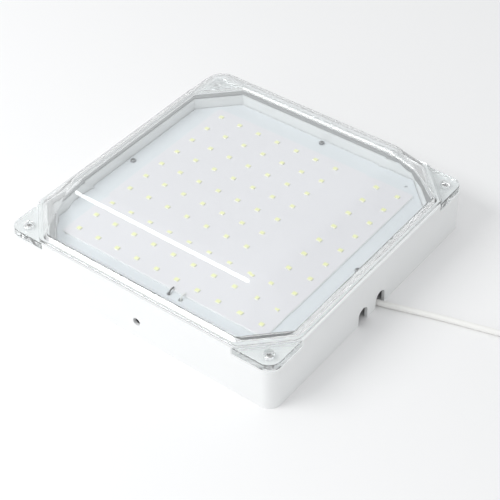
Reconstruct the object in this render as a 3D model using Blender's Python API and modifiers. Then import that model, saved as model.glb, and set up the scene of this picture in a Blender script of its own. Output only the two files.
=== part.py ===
"""Square LED grow light for a ceiling, modelled lying on its back with its lens up.

Metres, +Z up. The origin is at the bottom centre of the housing. +X is the side
with the two cable notches, and the mains cord leaves through the second notch.
"""
import math

import bmesh
import bpy
from mathutils import Matrix, Vector

MM = 0.001
GAP = 0.3 * MM                      # left between pieces that touch
OVERLAP = 1.0 * MM                  # how far a solid reaches into the one it is joined to
ABOVE_RIM = 60.0 * MM               # where cuts that are open upwards end
ABOVE_PLATE = 45.0 * MM

# Housing: an open-backed box with a deck, a recess above it and cut-down corners.
HALF = 150.0 * MM                   # half of the outer side
EDGE_RADIUS = 12.0 * MM
WALL = 3.0 * MM
RIM_TOP = 51.5 * MM
CORNER_TOP = 44.0 * MM
CORNER_CUT = 257.0 * MM             # |x| + |y| where the corners are cut down
RECESS_HALF = 137.0 * MM
RECESS_CUT = 239.0 * MM
INNER_WALL = 2.5 * MM
DECK_TOP = 37.3 * MM
DECK_BOTTOM = 34.8 * MM
RIM_BOTTOM = 47.3 * MM
CORNER_BOTTOM = 41.5 * MM
GASKET_HALF = 142.5 * MM
GASKET_CUT = 246.8 * MM
GASKET_FLOOR = 49.8 * MM
RIB_HEIGHT = 4.0 * MM
RIB_THICKNESS = 2.0 * MM
RIB_LENGTH = 250.0 * MM
RIB_OFFSET = 75.0 * MM
PLATE_BOSS = (4.0 * MM, 24.0 * MM)   # radius and lower end
PLATE_PILOT_BOTTOM = 25.5 * MM
COVER_BOSS = (5.0 * MM, 18.0 * MM)
COVER_PILOT_BOTTOM = 20.0 * MM
CLAMP_PILOT = (5.0 * MM, 24.0 * MM)  # lower and upper end

NOTCH_RADIUS = 6.9 * MM
NOTCH_HEIGHT = 17.0 * MM
NOTCH_CENTRES = (-16.8 * MM, 10.4 * MM)
SIDE_HOLE = (2.0 * MM, 19.0 * MM)   # x and z of the round hole in the two side faces
SIDE_HOLE_RADIUS = 4.0 * MM

# Clear cover: edge flange, four corner pads and a flat-topped dome.
FLANGE_HALF = 148.5 * MM
FLANGE_CUT = 260.0 * MM
FLANGE_BOTTOM = 51.8 * MM
FLANGE_TOP = 54.8 * MM
MOUTH_HALF = 141.0 * MM
DOME_FOOT = 146.0 * MM
DOME_FOOT_CUT = 254.4 * MM
DOME_WALL = 2.5 * MM
DOME_CUT_TAPER = 1.22               # how much the corner cut shrinks as the wall comes in
DOME_TOP = 96.7 * MM
DOME_TOP_INSET = 45.8 * MM
DOME_ARC_RADIUS = 18.4 * MM
DOME_ARC_STEPS = 4
PAD_HALF = 149.5 * MM
PAD_CUT = 257.5 * MM
PAD_BOTTOM = 44.3 * MM
PAD_TOP = 51.6 * MM
PAD_ROUND = 3.5 * MM
NECK_SUNK = 1.5 * MM                # how far the strip to the flange starts below the pad's top
SCREW_SEAT = 46.8 * MM
SCREW_SEAT_RADIUS = 5.0 * MM
COVER_SCREW_AT = 136.5 * MM

# Screws: head radius, head height, shank radius, length. Radii of the holes they go through.
COVER_SCREW = (3.6 * MM, 2.6 * MM, 1.75 * MM, 18.0 * MM)
SMALL_SCREW = (2.8 * MM, 2.1 * MM, 1.5 * MM, 11.0 * MM)
SHORT_SCREW = (2.6 * MM, 1.8 * MM, 1.5 * MM, 4.2 * MM)
COVER_HOLE_RADIUS = 2.1 * MM
SMALL_HOLE_RADIUS = 1.8 * MM

# LED plate and board.
PLATE_HALF = 136.0 * MM
PLATE_CUT = 237.5 * MM
PLATE_BOTTOM = 37.6 * MM
PLATE_TOP = 38.6 * MM
PLATE_SCREW_AT = 130.8 * MM
PLATE_HOLES = ((-110.6 * MM, -115.0 * MM), (101.5 * MM, 124.0 * MM))
WIRE_HOLES = ((16.5 * MM, -120.6 * MM), (29.5 * MM, -120.6 * MM))
PLATE_HOLE_RADIUS = 1.6 * MM
WIRE_HOLE_RADIUS = 2.2 * MM
BOARD_HALF = 115.7 * MM
BOARD_BOTTOM = 38.9 * MM
BOARD_TOP = 40.2 * MM
LED_ROWS = 10
LED_PITCH = 23.18 * MM
LED_GAP_COLUMN = 7                  # this column has LEDs in its first rows only
LED_GAP_FIRST_ROW = 3
LED_SIZE = (4.4 * MM, 4.0 * MM)
LED_TOP = 41.0 * MM
LED_SINK = 0.4 * MM                 # how deep each LED block goes into the board

# Driver under the deck.
DRIVER_CENTRE = (5.0 * MM, 4.0 * MM)
DRIVER_SIZE = (112.0 * MM, 46.0 * MM)
DRIVER_EAR = 10.0 * MM
DRIVER_BOTTOM = 12.0 * MM
DRIVER_PLATE = (33.0 * MM, 34.5 * MM)
DRIVER_WALL = 1.5 * MM
DRIVER_BOARD = (28.6 * MM, 30.2 * MM)
DRIVER_BOARD_MARGIN = 1.0 * MM
WIRE_EXIT_RADIUS = 1.3 * MM
TRANSFORMER_SIZE = (22.0 * MM, 20.0 * MM)
TRANSFORMER_OFFSET = 6.0 * MM
TRANSFORMER_BOTTOM = 16.0 * MM
CAPACITOR_RADIUS = 5.0 * MM
CAPACITOR_HALF = 6.5 * MM
CAPACITOR_EDGE = 0.6 * MM
CAPACITOR_OFFSET = (-30.0 * MM, -6.0 * MM)

# Terminal block and cord clamp.
TERMINAL_CENTRE = (94.0 * MM, 4.5 * MM)
TERMINAL_SIZE = (18.0 * MM, 21.0 * MM)
TERMINAL_HEIGHT = (20.5 * MM, 34.5 * MM)
CLAMP_CENTRE = (122.5 * MM, 4.5 * MM)
CLAMP_SIZE = (7.0 * MM, 26.0 * MM)
CLAMP_SCREW_OFFSET = 8.6 * MM
CLAMP_BAR = (2.7 * MM, 4.7 * MM)
CLAMP_POST_BOTTOM = 10.8 * MM
TERMINAL_SCREW_RADIUS = 1.3 * MM
TERMINAL_SCREW_HALF = 1.1 * MM
TERMINAL_SCREW_LEVEL = 22.0 * MM
SCREW_WAY = (15.0 * MM, 24.0 * MM)   # lower and upper end
SCREW_WAY_RADIUS = 1.7 * MM
WIRE_WAY_RADIUS = 1.5 * MM

# Wires.
WIRE_LEVEL = 25.0 * MM               # height of the wires' ends in the driver and terminal
WIRE_OFFSET = 5.0 * MM               # from the middle line, for each of a pair
WIRE_RADIUS = 0.8 * MM
CORE_RADIUS = 1.1 * MM

# Mains cord.
CORD_RADIUS = 2.75 * MM
CORD_START = (118.0, 4.5, 7.75)
CORD_RUN = (                         # mm: through the notch and along the floor
    CORD_START, (122.5, 4.5, 7.75), (127.5, 4.75, 7.5), (138.0, 6.8, 5.1),
    (148.5, 9.6, 3.1), (160.0, 13.1, 2.85), (177.0, 18.6, 2.8), (194.0, 24.0, 2.8),
    (215.0, 30.1, 2.8), (236.0, 35.8, 2.8), (257.0, 41.5, 2.8), (277.0, 47.1, 3.1),
)
COIL_CENTRE = (290.0, 90.7)
COIL_SLOTS = (                       # mm: radius and height of each turn, in order
    (38.6, 3.9), (33.0, 3.9), (27.4, 3.9), (27.4, 9.5), (33.0, 9.5), (38.6, 9.5),
)
COIL_START = -74.5                  # degrees round the coil where the cord arrives
COIL_LEAVE = 25.0                   # degrees, on the last turn, where it leaves
COIL_FIRST_SHIFT = 45.0             # degrees where the last change of turn begins
COIL_SHIFT = 47.0                   # degrees that each change of turn takes
TAIL_LENGTH = 50.0
TAIL_HEIGHT = 6.85
COIL_RING = (24.3 * MM, 41.7 * MM)   # inner and outer radius of the coil as one ring
COIL_RING_HEIGHT = (1.1 * MM, 12.4 * MM)
CORD_TO_COIL = 22.5 * MM             # the run's end before the coil
COIL_TO_TAIL = 24.0 * MM             # the tail's start after the coil
TIE_ANGLE = 35.0
TIE_OUTSIDE = (19.4 * MM, 13.4 * MM)
TIE_INSIDE = (18.0 * MM, 12.0 * MM)
TIE_WIDTH = 5.0 * MM
TIE_LEVEL = 6.8 * MM

# Plug.
PLUG_PIN_GAP = 18.6 * MM
PLUG_PIN_RADIUS = 2.0 * MM
PLUG_PIN_LENGTH = 19.0 * MM
PLUG_PIN_SUNK = 6.5 * MM
PLUG_SECTIONS = (                    # mm: distance along, width, height
    (0.0, 7.4, 7.4), (16.0, 9.2, 9.2), (20.0, 13.0, 11.4), (27.0, 20.0, 13.3),
    (36.0, 25.4, 13.7), (52.0, 26.0, 13.7), (54.5, 25.0, 12.7), (55.5, 23.4, 11.2),
)

WHITE = (0.80, 0.80, 0.79)


def clear_scene():
    for obj in list(bpy.data.objects):
        bpy.data.objects.remove(obj, do_unlink=True)
    for group in list(bpy.data.collections):
        bpy.data.collections.remove(group)


def new_collection(name):
    group = bpy.data.collections.new(name)
    bpy.context.scene.collection.children.link(group)
    return group


def make_material(name, colour, roughness, metallic=0.0, transmission=0.0):
    material = bpy.data.materials.new(name)
    material.use_nodes = True
    shader = material.node_tree.nodes["Principled BSDF"]
    shader.inputs["Base Color"].default_value = (*colour, 1.0)
    shader.inputs["Roughness"].default_value = roughness
    shader.inputs["Metallic"].default_value = metallic
    shader.inputs["Transmission Weight"].default_value = transmission
    material.diffuse_color = (*colour, 1.0)
    return material


def add_object(name, mesh, group, material=None):
    obj = bpy.data.objects.new(name, mesh)
    group.objects.link(obj)
    if material is not None:
        mesh.materials.clear()
        mesh.materials.append(material)
    return obj


def mesh_from(bm, name):
    bmesh.ops.recalc_face_normals(bm, faces=bm.faces)
    mesh = bpy.data.meshes.new(name)
    bm.to_mesh(mesh)
    bm.free()
    return mesh


def shade_round(obj, degrees=35.0):
    obj.data.shade_smooth()
    obj.data.set_sharp_from_angle(angle=math.radians(degrees))


def cut_square(half, cut):
    """Corners of a square of that half side whose corners are cut at |x| + |y| = cut."""
    low = cut - half
    return [(half, -low), (half, low), (low, half), (-low, half),
            (-half, low), (-half, -low), (-low, -half), (low, -half)]


def round_square(half, radius, steps=8):
    """Outline of a square with round corners."""
    points = []
    for quarter in range(4):
        middle = math.radians(45.0 + 90.0 * quarter)
        centre = (math.copysign(half - radius, math.cos(middle)),
                  math.copysign(half - radius, math.sin(middle)))
        for step in range(steps + 1):
            angle = math.radians(90.0 * quarter + 90.0 * step / steps)
            points.append((centre[0] + radius * math.cos(angle),
                           centre[1] + radius * math.sin(angle)))
    return points


def rectangle(centre, size):
    dx, dy = size[0] / 2.0, size[1] / 2.0
    return [(centre[0] - dx, centre[1] - dy), (centre[0] + dx, centre[1] - dy),
            (centre[0] + dx, centre[1] + dy), (centre[0] - dx, centre[1] + dy)]


def prism(name, outlines, low, high, group, material=None):
    """Flat outlines, the second one a hole, given a thickness from low to high."""
    curve = bpy.data.curves.new(name, "CURVE")
    curve.dimensions = "2D"
    curve.fill_mode = "BOTH"
    curve.extrude = (high - low) / 2.0
    for outline in outlines:
        spline = curve.splines.new("POLY")
        spline.points.add(len(outline) - 1)
        for point, (x, y) in zip(spline.points, outline):
            point.co = (x, y, 0.0, 1.0)
        spline.use_cyclic_u = True
    source = bpy.data.objects.new(name, curve)
    group.objects.link(source)
    source.location.z = (low + high) / 2.0
    return curve_to_mesh(source, group, material)


def curve_to_mesh(source, group, material=None):
    """The curve object's closed mesh, in the curve's place."""
    name = source.name
    bpy.context.view_layer.update()
    graph = bpy.context.evaluated_depsgraph_get()
    mesh = bpy.data.meshes.new_from_object(source.evaluated_get(graph))
    matrix = source.matrix_world.copy()
    curve = source.data
    bpy.data.objects.remove(source, do_unlink=True)
    bpy.data.curves.remove(curve)
    bm = bmesh.new()
    bm.from_mesh(mesh)
    bmesh.ops.remove_doubles(bm, verts=bm.verts, dist=1e-6)
    bmesh.ops.recalc_face_normals(bm, faces=bm.faces)
    bm.to_mesh(mesh)
    bm.free()
    obj = add_object(name, mesh, group, material)
    obj.matrix_world = matrix
    return obj


def cylinder(name, radius, low, high, at, group, material=None, segments=32):
    bm = bmesh.new()
    bmesh.ops.create_cone(bm, cap_ends=True, segments=segments, radius1=radius,
                          radius2=radius, depth=high - low)
    obj = add_object(name, mesh_from(bm, name), group, material)
    obj.location = (at[0], at[1], (low + high) / 2.0)
    return obj


def loft(name, rings, group, material=None):
    """A closed body through rings of equal point counts, with a face on each end."""
    bm = bmesh.new()
    loops = [[bm.verts.new(point) for point in ring] for ring in rings]
    count = len(loops[0])
    for lower, upper in zip(loops, loops[1:]):
        for i in range(count):
            j = (i + 1) % count
            bm.faces.new((lower[i], lower[j], upper[j], upper[i]))
    bm.faces.new(loops[0])
    bm.faces.new(loops[-1])
    return add_object(name, mesh_from(bm, name), group, material)


def turned(name, profile, group, material=None, steps=24):
    """A profile of (radius, z) turned round Z, from the axis down its outer side."""
    bm = bmesh.new()
    verts = [bm.verts.new((radius, 0.0, z)) for radius, z in profile]
    for first, second in zip(verts, verts[1:]):
        bm.edges.new((first, second))
    mesh = bpy.data.meshes.new(name)
    bm.to_mesh(mesh)
    bm.free()
    obj = add_object(name, mesh, group, material)
    screw = obj.modifiers.new("turn", "SCREW")
    screw.steps = screw.render_steps = steps
    screw.use_merge_vertices = True
    screw.merge_threshold = 1e-6
    return obj


def combine(target, tool, operation):
    modifier = target.modifiers.new(tool.name, "BOOLEAN")
    modifier.solver = "EXACT"
    modifier.operation = operation
    modifier.object = tool
    tool.hide_render = True
    tool.display_type = "WIRE"


def baked(obj, name, group, material=None):
    """A new object holding the shape that obj's modifiers give."""
    bpy.context.view_layer.update()
    graph = bpy.context.evaluated_depsgraph_get()
    mesh = bpy.data.meshes.new_from_object(obj.evaluated_get(graph))
    mesh.name = name
    return add_object(name, mesh, group, material)


def smooth_points(points, spacing):
    """Points along a smooth curve through the given ones, about spacing apart."""
    padded = [points[0] * 2 - points[1], *points, points[-1] * 2 - points[-2]]
    result = []
    for a, b, c, d in zip(padded, padded[1:], padded[2:], padded[3:]):
        count = max(1, round((c - b).length / spacing))
        for step in range(count):
            t = step / count
            result.append(0.5 * (2 * b + (c - a) * t + (2 * a - 5 * b + 4 * c - d) * t * t
                                 + (3 * b - a - 3 * c + d) * t ** 3))
    result.append(points[-1])
    return result


def tube(name, points, radius, group, material, resolution=2):
    curve = bpy.data.curves.new(name, "CURVE")
    curve.dimensions = "3D"
    curve.bevel_depth = radius
    curve.bevel_resolution = resolution
    curve.use_fill_caps = True
    spline = curve.splines.new("POLY")
    spline.points.add(len(points) - 1)
    for point, place in zip(spline.points, points):
        point.co = (*place, 1.0)
    obj = bpy.data.objects.new(name, curve)
    curve.materials.append(material)
    group.objects.link(obj)
    return obj


def pan_screw(name, head_radius, head_height, shank_radius, length, cutters):
    """A cross-recess pan-head screw, head up, seated at z = 0."""
    profile = [(0.0, head_height), (head_radius * 0.55, head_height * 0.96),
               (head_radius * 0.9, head_height * 0.62), (head_radius, head_height * 0.2),
               (head_radius, 0.0), (shank_radius, 0.0), (shank_radius, -length * 0.86),
               (shank_radius * 0.35, -length), (0.0, -length)]
    blank = turned(name + "_blank", profile, cutters)
    for turn in (0.0, 90.0):
        bm = bmesh.new()
        bmesh.ops.create_cube(bm, size=1.0)
        bmesh.ops.scale(bm, verts=bm.verts,
                        vec=(head_radius * 1.1, head_radius * 0.26, head_height))
        bar = add_object(f"{name}_recess_{int(turn)}", mesh_from(bm, name), cutters)
        bar.location.z = head_height * 0.95
        bar.rotation_euler.z = math.radians(turn)
        combine(blank, bar, "DIFFERENCE")
    mesh_holder = baked(blank, name + "_shape", cutters)
    blank.hide_render = mesh_holder.hide_render = True
    blank.display_type = mesh_holder.display_type = "WIRE"
    return mesh_holder.data


def place_screw(name, mesh, at, group, material, flip=False):
    obj = bpy.data.objects.new(name, mesh.copy())
    obj.data.materials.clear()
    obj.data.materials.append(material)
    group.objects.link(obj)
    obj.location = at
    if flip:
        obj.rotation_euler.x = math.pi
    shade_round(obj)
    return obj


def side_places(distance):
    return [(distance, 0.0), (0.0, distance), (-distance, 0.0), (0.0, -distance)]


def corner_places(distance):
    return [(distance, distance), (-distance, distance), (-distance, -distance),
            (distance, -distance)]


def build_housing(parts, cutters, material):
    housing = prism("housing", [round_square(HALF, EDGE_RADIUS)], 0.0, CORNER_TOP,
                    parts, material)
    combine(housing, prism("rim_block", [cut_square(HALF, CORNER_CUT)], CORNER_TOP - OVERLAP,
                           RIM_TOP, cutters), "UNION")
    inner = HALF - WALL
    inner_cut = RECESS_CUT + INNER_WALL * math.sqrt(2)
    hole = cut_square(RECESS_HALF + INNER_WALL, inner_cut)
    chamber_outline = round_square(inner, EDGE_RADIUS - WALL)
    hollows = [
        prism("recess", [cut_square(RECESS_HALF, RECESS_CUT)], DECK_TOP, ABOVE_RIM, cutters),
        prism("gasket_step", [cut_square(GASKET_HALF, GASKET_CUT)], GASKET_FLOOR, ABOVE_RIM,
              cutters),
        prism("chamber", [chamber_outline], -5 * MM, DECK_BOTTOM, cutters),
        prism("corner_channel", [chamber_outline, hole], DECK_BOTTOM - OVERLAP, CORNER_BOTTOM,
              cutters),
        prism("rim_channel", [cut_square(inner, CORNER_CUT - WALL * math.sqrt(2)), hole],
              DECK_BOTTOM - OVERLAP, RIM_BOTTOM, cutters),
    ]
    for hollow in hollows:
        combine(housing, hollow, "DIFFERENCE")
    additions = [
        prism("clamp_post", [rectangle(CLAMP_CENTRE, CLAMP_SIZE)], CLAMP_POST_BOTTOM,
              DECK_BOTTOM + OVERLAP, cutters),
    ]
    for number, at in enumerate(side_places(PLATE_SCREW_AT), 1):
        additions.append(cylinder(f"plate_boss_{number}", *PLATE_BOSS, DECK_BOTTOM + OVERLAP,
                                  at, cutters, segments=24))
    for number, at in enumerate(corner_places(COVER_SCREW_AT), 1):
        additions.append(cylinder(f"cover_boss_{number}", *COVER_BOSS, CORNER_BOTTOM + OVERLAP,
                                  at, cutters, segments=24))
    for number, offset in enumerate((-RIB_OFFSET, RIB_OFFSET), 1):
        additions.append(prism(f"rib_{number}",
                               [rectangle((0.0, offset), (RIB_LENGTH, RIB_THICKNESS))],
                               DECK_BOTTOM - RIB_HEIGHT, DECK_BOTTOM + OVERLAP, cutters))
    for addition in additions:
        combine(housing, addition, "UNION")
    pilots = (
        ("plate_pilot", SMALL_HOLE_RADIUS, PLATE_PILOT_BOTTOM, ABOVE_PLATE,
         side_places(PLATE_SCREW_AT)),
        ("cover_pilot", COVER_HOLE_RADIUS, COVER_PILOT_BOTTOM, ABOVE_PLATE,
         corner_places(COVER_SCREW_AT)),
        ("clamp_pilot", SMALL_HOLE_RADIUS, *CLAMP_PILOT, clamp_screw_places()),
        ("driver_pilot", SMALL_HOLE_RADIUS, DECK_BOTTOM - RIB_HEIGHT, ABOVE_PLATE,
         driver_screw_places()),
        ("deck_wire_hole", WIRE_HOLE_RADIUS, DECK_BOTTOM - RIB_HEIGHT, ABOVE_PLATE, WIRE_HOLES),
    )
    holes = []
    for name, radius, low, high, places in pilots:
        for number, at in enumerate(places, 1):
            holes.append(cylinder(f"{name}_{number}", radius, low, high, at, cutters,
                                  segments=16))
    for number, centre in enumerate(NOTCH_CENTRES, 1):
        outline = [(-NOTCH_RADIUS, -WALL)]
        for step in range(13):
            angle = math.pi - math.pi * step / 12
            outline.append((NOTCH_RADIUS * math.cos(angle),
                            NOTCH_HEIGHT - NOTCH_RADIUS + NOTCH_RADIUS * math.sin(angle)))
        outline.append((NOTCH_RADIUS, -WALL))
        notch = prism(f"notch_{number}", [outline], -WALL - OVERLAP, WALL + OVERLAP, cutters)
        notch.matrix_world = Matrix(((0, 0, 1, HALF), (1, 0, 0, centre), (0, 1, 0, 0),
                                     (0, 0, 0, 1)))
        holes.append(notch)
    for side in (-1, 1):
        hole = cylinder(f"side_hole_{side}", SIDE_HOLE_RADIUS, -WALL - OVERLAP, WALL + OVERLAP,
                        (0, 0), cutters)
        hole.rotation_euler.x = math.radians(90)
        hole.location = (SIDE_HOLE[0], side * HALF, SIDE_HOLE[1])
        holes.append(hole)
    for hole in holes:
        combine(housing, hole, "DIFFERENCE")
    shade_round(housing)


def pad_outline(inset):
    """A corner pad's outline with its outer faces moved in by inset."""
    half = PAD_HALF - inset
    radius = EDGE_RADIUS - inset
    points = [(half, PAD_CUT - half)]
    for step in range(9):
        angle = math.radians(90.0 * step / 8)
        points.append((half - radius + radius * math.cos(angle),
                       half - radius + radius * math.sin(angle)))
    points.append((PAD_CUT - half, half))
    return points


def dome_profile(offset):
    """Inset and height up the dome's wall and over to its flat top, offset inwards."""
    centre = Vector((DOME_TOP_INSET, DOME_TOP - DOME_ARC_RADIUS))
    reach = centre - Vector((0.0, FLANGE_TOP))
    lean = math.atan2(reach.y, reach.x) + math.asin(DOME_ARC_RADIUS / reach.length)
    radius = DOME_ARC_RADIUS - offset
    points = [Vector((offset * math.sin(lean), FLANGE_TOP - offset * math.cos(lean)))]
    for step in range(DOME_ARC_STEPS + 1):
        angle = lean * (1.0 - step / DOME_ARC_STEPS)
        points.append(centre + radius * Vector((-math.sin(angle), math.cos(angle))))
    return points


def build_cover(parts, cutters, material):
    def ring(half, cut, z):
        return [(x, y, z) for x, y in cut_square(half, cut)]

    def dome_ring(inset, z):
        return ring(DOME_FOOT - inset, DOME_FOOT_CUT - inset * DOME_CUT_TAPER, z)

    mouth_inset = DOME_FOOT - MOUTH_HALF
    foot, *arc = dome_profile(DOME_WALL)
    mouth = foot.lerp(arc[0], (mouth_inset - foot.x) / (arc[0].x - foot.x))
    rings = [dome_ring(mouth_inset, FLANGE_BOTTOM),
             ring(FLANGE_HALF, FLANGE_CUT, FLANGE_BOTTOM),
             ring(FLANGE_HALF, FLANGE_CUT, FLANGE_TOP)]
    rings += [dome_ring(*point) for point in dome_profile(0.0)]
    rings_inside = [dome_ring(*point) for point in [*reversed(arc), mouth]]
    bm = bmesh.new()
    loops = [[bm.verts.new(point) for point in ring_points] for ring_points in rings]
    inside = [[bm.verts.new(point) for point in ring_points] for ring_points in rings_inside]
    for chain in (loops, inside + [loops[0]]):
        for lower, upper in zip(chain, chain[1:]):
            for i in range(8):
                j = (i + 1) % 8
                bm.faces.new((lower[i], lower[j], upper[j], upper[i]))
    bm.faces.new(loops[-1])
    bm.faces.new(inside[0])
    cover = add_object("clear_cover", mesh_from(bm, "clear_cover"), parts, material)

    profile = [(0.0, PAD_BOTTOM), (0.0, PAD_TOP - PAD_ROUND)]
    for step in range(1, 7):
        angle = math.radians(90.0 * step / 6)
        profile.append((PAD_ROUND * (1 - math.cos(angle)),
                        PAD_TOP - PAD_ROUND + PAD_ROUND * math.sin(angle)))
    neck = [(FLANGE_HALF, PAD_CUT - FLANGE_HALF), (FLANGE_HALF, FLANGE_CUT - FLANGE_HALF),
            (FLANGE_CUT - FLANGE_HALF, FLANGE_HALF), (PAD_CUT - FLANGE_HALF, FLANGE_HALF)]
    for number in range(4):
        turn = Matrix.Rotation(math.radians(90.0 * number), 4, "Z")
        pad = loft(f"pad_{number + 1}",
                   [[(x, y, z) for x, y in pad_outline(inset)] for inset, z in profile], cutters)
        bridge = prism(f"neck_{number + 1}", [neck], PAD_TOP - NECK_SUNK,
                       FLANGE_BOTTOM + OVERLAP, cutters)
        pad.matrix_world = turn @ pad.matrix_world
        bridge.matrix_world = turn @ bridge.matrix_world
        combine(cover, pad, "UNION")
        combine(cover, bridge, "UNION")
    for number, at in enumerate(corner_places(COVER_SCREW_AT), 1):
        combine(cover, cylinder(f"seat_{number}", SCREW_SEAT_RADIUS, SCREW_SEAT, ABOVE_RIM, at,
                                cutters), "DIFFERENCE")
        combine(cover, cylinder(f"cover_hole_{number}", COVER_HOLE_RADIUS, PAD_BOTTOM - OVERLAP,
                                SCREW_SEAT + OVERLAP, at, cutters, segments=16), "DIFFERENCE")
    shade_round(cover, 25.0)


def build_led_parts(parts, cutters, plate_material, board_material):
    plate = prism("led_plate", [cut_square(PLATE_HALF, PLATE_CUT)], PLATE_BOTTOM, PLATE_TOP,
                  parts, plate_material)
    holes = [(at, SMALL_HOLE_RADIUS) for at in side_places(PLATE_SCREW_AT)]
    holes += [(at, PLATE_HOLE_RADIUS) for at in PLATE_HOLES]
    holes += [(at, WIRE_HOLE_RADIUS) for at in WIRE_HOLES]
    for number, (at, radius) in enumerate(holes, 1):
        combine(plate, cylinder(f"plate_hole_{number}", radius, DECK_BOTTOM, ABOVE_PLATE, at,
                                cutters, segments=16), "DIFFERENCE")
    board = prism("led_board", [rectangle((0, 0), (2 * BOARD_HALF, 2 * BOARD_HALF))],
                  BOARD_BOTTOM, BOARD_TOP, parts, board_material)
    chips = bmesh.new()
    height = LED_TOP - BOARD_TOP + LED_SINK
    scale = Matrix.Diagonal((*LED_SIZE, height, 1.0))
    middle = (LED_ROWS - 1) / 2
    for row in range(LED_ROWS):
        for column in range(LED_ROWS):
            if column != LED_GAP_COLUMN or row < LED_GAP_FIRST_ROW:
                place = Matrix.Translation(((column - middle) * LED_PITCH,
                                            (row - middle) * LED_PITCH, LED_TOP - height / 2))
                bmesh.ops.create_cube(chips, size=1.0, matrix=place @ scale)
    tool = add_object("led_chips", mesh_from(chips, "led_chips"), cutters)
    combine(board, tool, "UNION")


def driver_screw_places():
    offset = DRIVER_SIZE[0] / 2 + DRIVER_EAR / 2
    return [(DRIVER_CENTRE[0] - offset, DRIVER_CENTRE[1]),
            (DRIVER_CENTRE[0] + offset, DRIVER_CENTRE[1])]


def clamp_screw_places():
    return [(CLAMP_CENTRE[0], CLAMP_CENTRE[1] - CLAMP_SCREW_OFFSET),
            (CLAMP_CENTRE[0], CLAMP_CENTRE[1] + CLAMP_SCREW_OFFSET)]


def build_driver(parts, cutters, materials):
    length, width = DRIVER_SIZE
    base = prism("driver_base", [rectangle(DRIVER_CENTRE, (length + 2 * DRIVER_EAR, width))],
                 *DRIVER_PLATE, parts, materials["driver_metal"])
    for number, at in enumerate(driver_screw_places(), 1):
        combine(base, cylinder(f"base_hole_{number}", SMALL_HOLE_RADIUS,
                               DRIVER_PLATE[0] - OVERLAP, DRIVER_PLATE[1] + OVERLAP, at, cutters,
                               segments=16), "DIFFERENCE")
    top = DRIVER_PLATE[0] - GAP
    case = prism("driver_case", [rectangle(DRIVER_CENTRE, DRIVER_SIZE)], DRIVER_BOTTOM, top,
                 parts, materials["driver_plastic"])
    inner = (length - 2 * DRIVER_WALL, width - 2 * DRIVER_WALL)
    combine(case, prism("case_hollow", [rectangle(DRIVER_CENTRE, inner)],
                        DRIVER_BOTTOM + DRIVER_WALL, DECK_TOP, cutters), "DIFFERENCE")
    for number, (side, offset) in enumerate(wire_exits(), 1):
        exit_hole = cylinder(f"wire_exit_{number}", WIRE_EXIT_RADIUS, -2 * DRIVER_WALL,
                             2 * DRIVER_WALL, (0, 0), cutters, segments=16)
        exit_hole.rotation_euler.y = math.radians(90)
        exit_hole.location = (DRIVER_CENTRE[0] + side * length / 2, DRIVER_CENTRE[1] + offset,
                              WIRE_LEVEL)
        combine(case, exit_hole, "DIFFERENCE")
    board_size = (inner[0] - 2 * DRIVER_BOARD_MARGIN, inner[1] - 2 * DRIVER_BOARD_MARGIN)
    prism("driver_board", [rectangle(DRIVER_CENTRE, board_size)], *DRIVER_BOARD, parts,
          materials["board_green"])
    transformer = prism("driver_transformer",
                        [rectangle((DRIVER_CENTRE[0] + TRANSFORMER_OFFSET, DRIVER_CENTRE[1]),
                                   TRANSFORMER_SIZE)], TRANSFORMER_BOTTOM,
                        DRIVER_BOARD[0] - GAP, parts, materials["black_plastic"])
    bevel = transformer.modifiers.new("edges", "BEVEL")
    bevel.width = 0.8 * MM
    bevel.segments = 2
    rim, shoulder = CAPACITOR_RADIUS - CAPACITOR_EDGE, CAPACITOR_HALF - CAPACITOR_EDGE
    capacitor = turned("driver_capacitor", [(0, CAPACITOR_HALF), (rim, CAPACITOR_HALF),
                                            (CAPACITOR_RADIUS, shoulder),
                                            (CAPACITOR_RADIUS, -shoulder),
                                            (rim, -CAPACITOR_HALF), (0, -CAPACITOR_HALF)],
                       parts, materials["black_plastic"])
    capacitor.location = (DRIVER_CENTRE[0] + CAPACITOR_OFFSET[0],
                          DRIVER_CENTRE[1] + CAPACITOR_OFFSET[1],
                          DRIVER_BOARD[0] - GAP - CAPACITOR_HALF)
    shade_round(capacitor)


def wire_exits():
    """Side of the driver case and offset from its middle line, for each wire."""
    return [(side, offset) for side in (1, -1) for offset in (WIRE_OFFSET, -WIRE_OFFSET)]


def build_terminal(parts, cutters, materials):
    block = prism("terminal_block", [rectangle(TERMINAL_CENTRE, TERMINAL_SIZE)],
                  *TERMINAL_HEIGHT, parts, materials["white_plastic"])
    bevel = block.modifiers.new("edges", "BEVEL")
    bevel.width = 0.6 * MM
    bevel.segments = 1
    for number, offset in enumerate((-WIRE_OFFSET, WIRE_OFFSET), 1):
        wire_way = cylinder(f"wire_way_{number}", WIRE_WAY_RADIUS, -TERMINAL_SIZE[0],
                            TERMINAL_SIZE[0], (0, 0), cutters, segments=16)
        wire_way.rotation_euler.y = math.radians(90)
        wire_way.location = (TERMINAL_CENTRE[0], TERMINAL_CENTRE[1] + offset, WIRE_LEVEL)
        combine(block, wire_way, "DIFFERENCE")
        combine(block, cylinder(f"screw_way_{number}", SCREW_WAY_RADIUS, *SCREW_WAY,
                                (TERMINAL_CENTRE[0], TERMINAL_CENTRE[1] + offset), cutters,
                                segments=16), "DIFFERENCE")
        screw = turned(f"terminal_screw_{number}",
                       [(0, TERMINAL_SCREW_HALF), (TERMINAL_SCREW_RADIUS, TERMINAL_SCREW_HALF),
                        (TERMINAL_SCREW_RADIUS, -TERMINAL_SCREW_HALF),
                        (0, -TERMINAL_SCREW_HALF)], parts, materials["brass"], steps=16)
        screw.location = (TERMINAL_CENTRE[0], TERMINAL_CENTRE[1] + offset,
                          TERMINAL_SCREW_LEVEL)
        shade_round(screw)


def vectors(points):
    return [Vector(point) * MM for point in points]


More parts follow.
